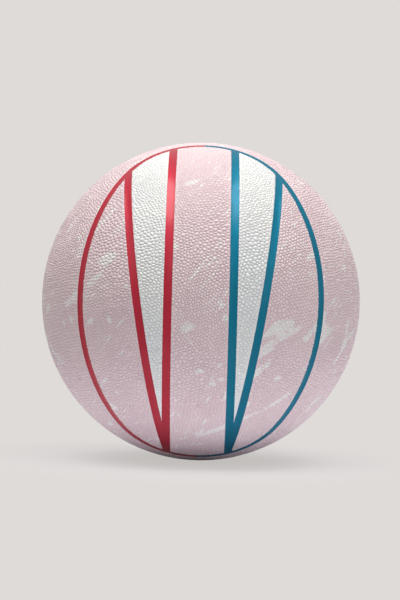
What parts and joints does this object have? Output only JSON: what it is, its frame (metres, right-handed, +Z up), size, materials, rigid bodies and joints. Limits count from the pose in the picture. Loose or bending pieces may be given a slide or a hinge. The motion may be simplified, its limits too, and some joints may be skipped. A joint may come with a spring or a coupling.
{
  "type": "basketball",
  "caption": "Inflated basketball with pebbled pink and pearl cover panels, red and teal channels, a wound rubber carcass, and a bladder with a needle valve.",
  "frame": {"origin": "the ball's centre", "axes": "+Z up as pictured, -Y towards the viewer out of the middle of the front oval, +Y out of the valve, +X to the teal side"},
  "size_m": [0.2424, 0.2424, 0.2424],
  "materials": {
    "butyl": "matte",
    "rubber": "matte",
    "thread": "wound thread in latex",
    "channel_red": "smooth gloss paint",
    "channel_teal": "smooth gloss paint",
    "cover_pink": "pebbled satin composite leather",
    "cover_pearl": "pebbled pearl composite leather"
  },
  "bodies": {
    "root": {"bladder": "butyl", "valve_housing": "rubber", "valve_plug": "butyl", "thread_winding": "thread", "carcass": "rubber", "front_left_channel": "channel_red", "back_left_channel": "channel_red", "girth_left_channel": "channel_red", "front_right_channel": "channel_teal", "back_right_channel": "channel_teal", "girth_right_channel": "channel_teal", "front_centre_panel": "cover_pink", "front_left_lens_panel": "cover_pink", "front_right_lens_panel": "cover_pink", "back_centre_panel": "cover_pink", "back_left_lens_panel": "cover_pink", "back_right_lens_panel": "cover_pink", "front_left_side_panel": "cover_pink", "front_right_side_panel": "cover_pink", "back_left_side_panel": "cover_pink", "back_right_side_panel": "cover_pink", "front_left_wedge_panel": "cover_pearl", "front_right_wedge_panel": "cover_pearl", "back_left_wedge_panel": "cover_pearl", "back_right_wedge_panel": "cover_pearl"}
  },
  "joints": []
}
